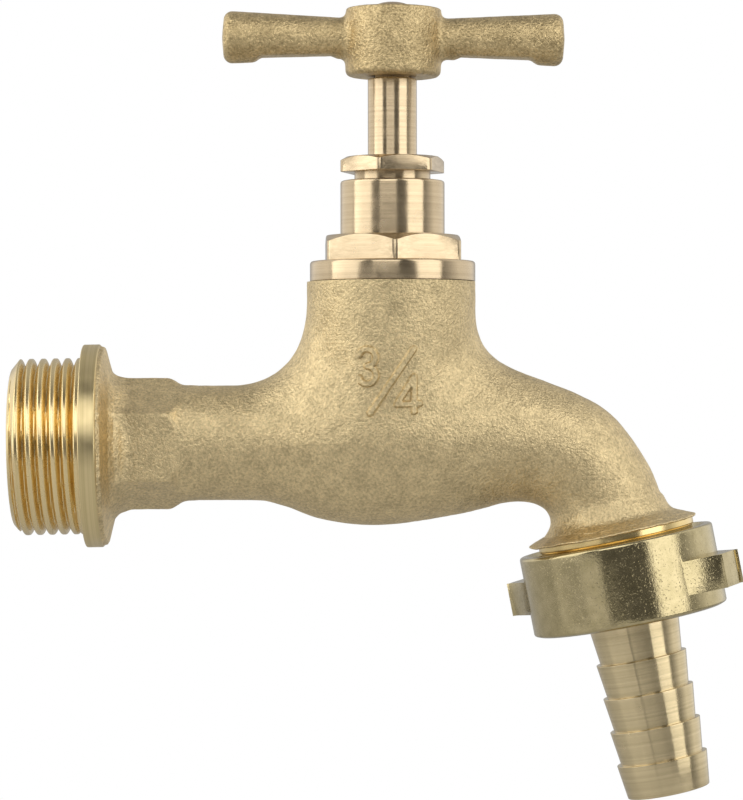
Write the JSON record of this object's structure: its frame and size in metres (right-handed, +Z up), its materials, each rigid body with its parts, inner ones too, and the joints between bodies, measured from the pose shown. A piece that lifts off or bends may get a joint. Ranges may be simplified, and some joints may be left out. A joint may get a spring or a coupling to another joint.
{
  "type": "hose bib",
  "caption": "Brass screw-down bib tap with a T handle, a threaded wall inlet with flange, a turned-down spout, and a lugged union nut holding a barbed hose tail.",
  "frame": {"origin": "on the inlet axis, at the wall side of the flange", "axes": "+X out from the wall along the inlet towards the spout, +Z up along the spindle to the handle, +Y across the tap"},
  "size_m": [0.109, 0.0304, 0.1196],
  "materials": {
    "cast_brass": "blasted casting, satin, machined where threaded",
    "handle_brass": "rough casting, satin",
    "turned_brass": "turned bright",
    "nut_brass": "forged and polished, slightly pitted",
    "spring_bronze": "drawn wire",
    "rubber": "matte",
    "fibre": "pressed fibre sheet, matte",
    "packing": "greased graphite packing"
  },
  "bodies": {
    "tap_body": {"body": "cast_brass", "bonnet": "turned_brass", "bonnet_gasket": "fibre", "gland_nut": "turned_brass", "gland_follower": "turned_brass", "packing_ring_upper": "packing", "packing_ring_middle": "packing", "packing_ring_lower": "packing", "stuffing_box_washer": "turned_brass"},
    "valve": {"jumper_valve": "turned_brass", "jumper_snap_ring": "spring_bronze", "seat_washer": "rubber", "seat_washer_plate": "turned_brass", "seat_washer_nut": "turned_brass"},
    "spindle_and_handle": {"spindle": "turned_brass", "handle": "handle_brass"},
    "union_seal": {"hose_tail_gasket": "rubber"},
    "union_nut": {"union_nut": "nut_brass"},
    "hose_tail": {"hose_tail": "turned_brass"}
  },
  "joints": [
    {"name": "valve_lift", "type": "slide", "parent": "tap_body", "child": "valve", "axis": [0, 0, 1], "range_m": [0, 0.006]},
    {"name": "handle_turn", "type": "hinge", "parent": "valve", "child": "spindle_and_handle", "pos_m": [0.0461, 0, 0], "axis": [0, 0, 1], "range_deg": [0, 1090]},
    {"name": "union_slide", "type": "slide", "parent": "tap_body", "child": "union_seal", "axis": [0.2011, 0, -0.9796], "range_m": [0, 0.00907]},
    {"name": "union_nut_turn", "type": "hinge", "parent": "union_seal", "child": "union_nut", "pos_m": [0.0794, 0, -0.0132], "axis": [0.2011, 0, -0.9796], "range_deg": [0, 1810]},
    {"name": "hose_tail_swivel", "type": "hinge", "parent": "union_seal", "child": "hose_tail", "pos_m": [0.0794, 0, -0.0132], "axis": [0.2011, 0, -0.9796], "continuous": true}
  ],
  "couplings": [
    {"joint": "handle_turn", "follows": "valve_lift", "rad_per_m": 3141.6},
    {"joint": "union_nut_turn", "follows": "union_slide", "rad_per_m": 3463.7}
  ]
}
